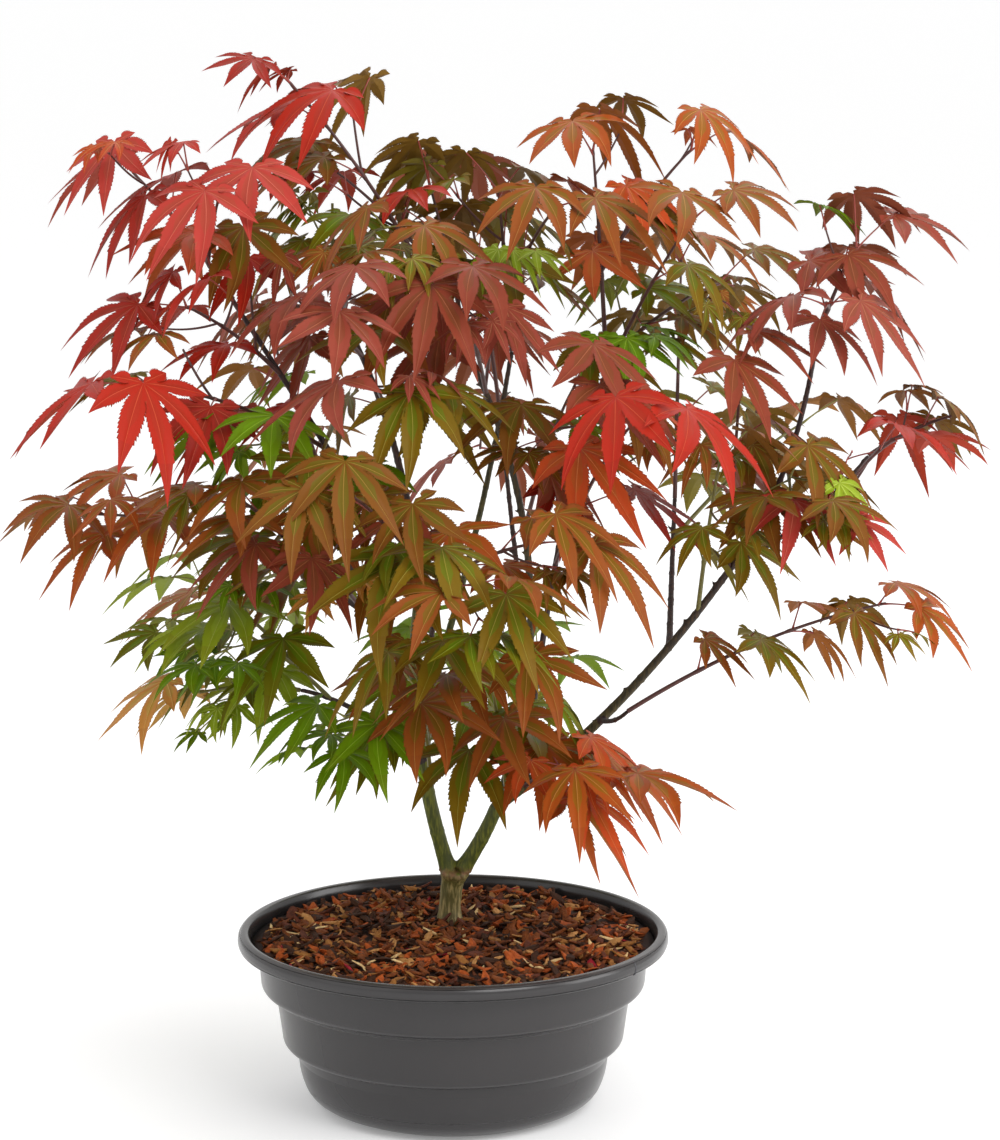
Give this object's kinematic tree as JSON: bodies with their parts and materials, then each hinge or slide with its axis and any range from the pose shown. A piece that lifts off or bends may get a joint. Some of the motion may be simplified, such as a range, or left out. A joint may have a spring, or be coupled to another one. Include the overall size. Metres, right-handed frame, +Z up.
{
  "type": "potted maple shrub",
  "caption": "Young garden maple with spreading red, bronze and green leaves, standing in a round stepped nursery bowl filled with bark mulch.",
  "frame": {"origin": "middle of the bowl's flat underside", "axes": "+Z up, +X to the right and -Y to the front, towards the viewer"},
  "size_m": [0.6352, 0.5651, 0.6804],
  "materials": {
    "bowl_plastic": "satin dark grey moulded plastic, lighter along its edges",
    "bark_mulch": "dry reddish brown bark chips",
    "trunk_bark": "grey green bark with tan streaks",
    "young_bark": "smooth green bark with rings at the nodes",
    "dark_bark": "smooth purple black bark",
    "leaves_red": "thin soft satin leaf, red tint",
    "leaves_rust": "thin soft satin leaf, rust tint",
    "leaves_orange": "thin soft satin leaf, orange tint",
    "leaves_bronze": "thin soft satin leaf, bronze tint",
    "leaves_dusk": "thin soft satin leaf, dusk tint",
    "leaves_olive": "thin soft satin leaf, olive tint",
    "leaves_green": "thin soft satin leaf, green tint",
    "leaves_lime": "thin soft satin leaf, lime tint"
  },
  "bodies": {
    "root": {"bowl": "bowl_plastic", "soil": "bark_mulch", "trunk": "trunk_bark", "stem_left": "young_bark", "stem_right": "young_bark", "bough_right": "dark_bark", "leader": "dark_bark", "upright": "dark_bark", "stem_center": "young_bark", "bough_left_high": "dark_bark", "bough_left_mid": "dark_bark", "bough_left_low": "dark_bark", "bough_left_foot": "dark_bark", "bough_right_high": "dark_bark", "bough_right_far": "dark_bark", "bough_right_low": "dark_bark", "bough_front": "dark_bark", "bough_back_left": "dark_bark", "bough_back_right": "dark_bark", "bough_back": "dark_bark", "leaves_leader_tip": "leaves_red", "leaves_leader_side": "leaves_bronze", "leaves_high_left": "leaves_olive", "leaves_high_front": "leaves_dusk", "leaves_left_crest": "leaves_red", "leaves_left_shoulder": "leaves_red", "leaves_left_breast": "leaves_red", "leaves_left_inner": "leaves_green", "leaves_left_low_tip": "leaves_rust", "leaves_left_low_front": "leaves_bronze", "leaves_foot_left_tip": "leaves_lime", "leaves_foot_left_lime": "leaves_lime", "leaves_foot_left_hang": "leaves_green", "leaves_front_low": "leaves_olive", "leaves_front_low_right": "leaves_olive", "leaves_foot_right": "leaves_orange", "leaves_front_rust": "leaves_rust", "leaves_front_left": "leaves_bronze", "leaves_front_right": "leaves_rust", "leaves_center_mid": "leaves_dusk", "leaves_center_low": "leaves_bronze", "leaves_center_upper": "leaves_dusk", "leaves_center_tip": "leaves_bronze", "leaves_center_right": "leaves_dusk", "leaves_upright_tip": "leaves_orange", "leaves_upright_side": "leaves_bronze", "leaves_upright_green": "leaves_green", "leaves_right_front": "leaves_red", "leaves_right_mid": "leaves_dusk", "leaves_right_green": "leaves_olive", "leaves_right_tip": "leaves_dusk", "leaves_right_side": "leaves_olive", "leaves_right_far": "leaves_red", "leaves_right_low": "leaves_rust", "leaves_back_left_high": "leaves_bronze", "leaves_back_left_low": "leaves_olive", "leaves_back_top": "leaves_dusk", "leaves_back_right_high": "leaves_bronze", "leaves_back_right_mid": "leaves_olive", "leaves_back_low": "leaves_green"}
  },
  "joints": []
}
